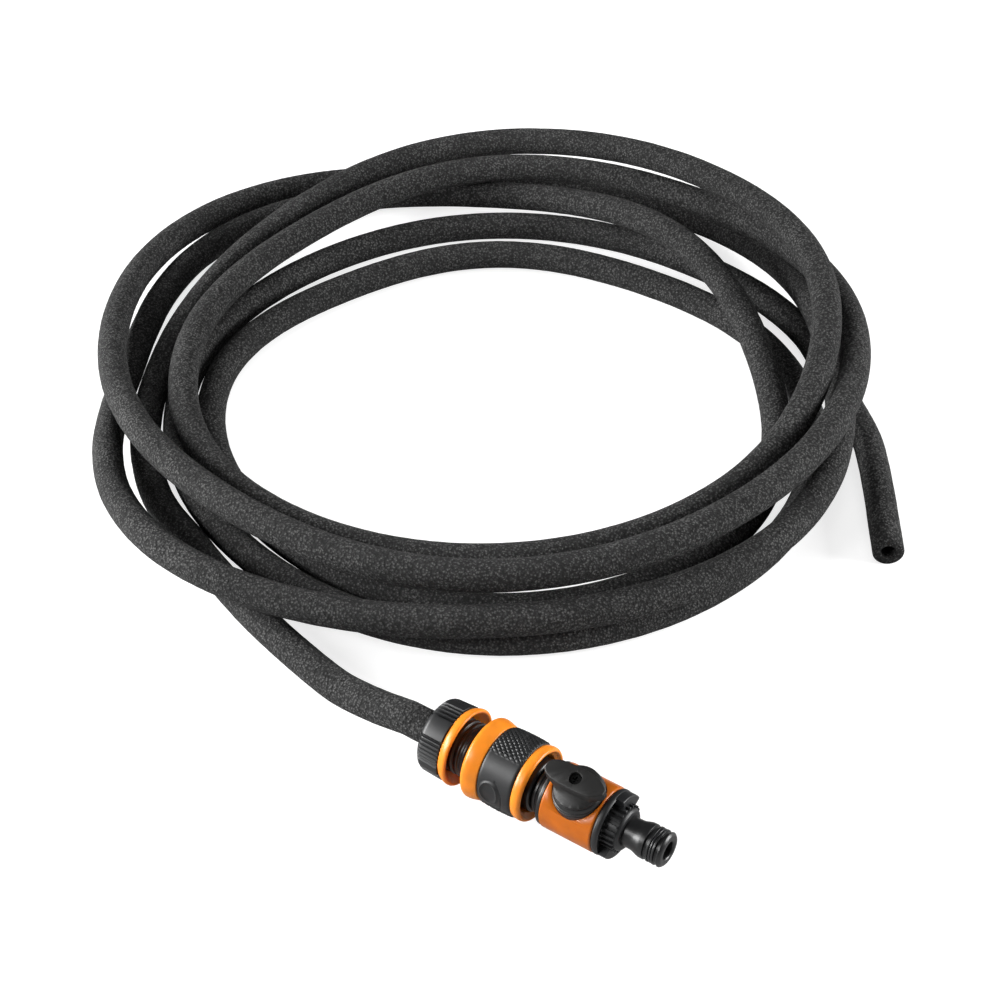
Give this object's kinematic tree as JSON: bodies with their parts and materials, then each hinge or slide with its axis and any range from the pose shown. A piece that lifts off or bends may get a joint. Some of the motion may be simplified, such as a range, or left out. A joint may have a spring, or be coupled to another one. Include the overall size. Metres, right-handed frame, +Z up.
{
  "type": "soaker hose",
  "caption": "Porous watering hose in a loose coil, one end open, the other in a quick connector with a ball valve and an inlet nipple",
  "frame": {"origin": "on the ground under the middle of the fittings, half way from the nut's rear to the nipple's tip", "axes": "+X along the fittings' flow axis from the hose to the inlet nipple, +Z up, +Y to the side where the coil lies"},
  "size_m": [0.5, 0.4754, 0.0631],
  "materials": {
    "orange_plastic": "smooth glossy moulded plastic",
    "black_plastic": "satin moulded plastic with fine grain",
    "grip_plastic": "soft textured grip plastic",
    "hose_rubber": "porous granular rubber",
    "seal_rubber": "smooth seal rubber",
    "spring_steel": "drawn spring wire",
    "ball_plastic": "polished ball",
    "seat_plastic": "smooth sealing plastic",
    "screw_steel": "blackened steel"
  },
  "bodies": {
    "hose": {"connector_body": "black_plastic", "sleeve_spring": "spring_steel", "hose_lead": "hose_rubber", "hose_coil": "hose_rubber", "hose_tail": "hose_rubber"},
    "collet": {"hose_collet": "black_plastic"},
    "nut": {"union_nut": "orange_plastic", "nut_grip": "grip_plastic"},
    "sleeve": {"release_sleeve": "orange_plastic", "sleeve_grip": "grip_plastic"},
    "jaw_near": {"jaw_near": "black_plastic"},
    "jaw_far": {"jaw_far": "black_plastic"},
    "valve": {"valve_body": "black_plastic", "valve_shell": "orange_plastic", "outlet_seal": "seal_rubber", "inlet_seat": "seat_plastic", "outlet_seat": "seat_plastic", "stem_seal": "seal_rubber", "end_cap": "black_plastic", "inlet_nipple": "black_plastic", "inlet_seal": "seal_rubber"},
    "handle": {"handle": "grip_plastic", "handle_screw": "screw_steel", "valve_stem": "black_plastic", "ball": "ball_plastic"}
  },
  "joints": [
    {"name": "collet_slide", "type": "slide", "parent": "hose", "child": "collet", "axis": [-1, 0, 0], "range_m": [0, 0.006]},
    {"name": "nut_turn", "type": "hinge", "parent": "collet", "child": "nut", "pos_m": [-0.052, 0, 0.0192], "axis": [-1, 0, 0], "range_deg": [0, 720]},
    {"name": "sleeve_slide", "type": "slide", "parent": "hose", "child": "sleeve", "axis": [-1, 0, 0], "range_m": [0, 0.005], "stiffness_N_per_m": 1200, "springref_m": -0.005, "deforming": ["sleeve_spring"]},
    {"name": "jaw_near_slide", "type": "slide", "parent": "hose", "child": "jaw_near", "axis": [0, -1, 0], "range_m": [0, 0.00125]},
    {"name": "jaw_far_slide", "type": "slide", "parent": "hose", "child": "jaw_far", "axis": [0, 1, 0], "range_m": [0, 0.00125]},
    {"name": "valve_turn", "type": "hinge", "parent": "hose", "child": "valve", "pos_m": [0.0178, 0, 0.0192], "axis": [1, 0, 0], "continuous": true},
    {"name": "handle_turn", "type": "hinge", "parent": "valve", "child": "handle", "pos_m": [0.0178, 0, 0.0192], "axis": [0, -0.2924, 0.9563], "range_deg": [0, 90]}
  ],
  "couplings": [
    {"joint": "collet_slide", "follows": "nut_turn", "m_per_rad": 0.00047746},
    {"joint": "jaw_near_slide", "follows": "sleeve_slide", "ratio": 0.25},
    {"joint": "jaw_far_slide", "follows": "sleeve_slide", "ratio": 0.25}
  ]
}
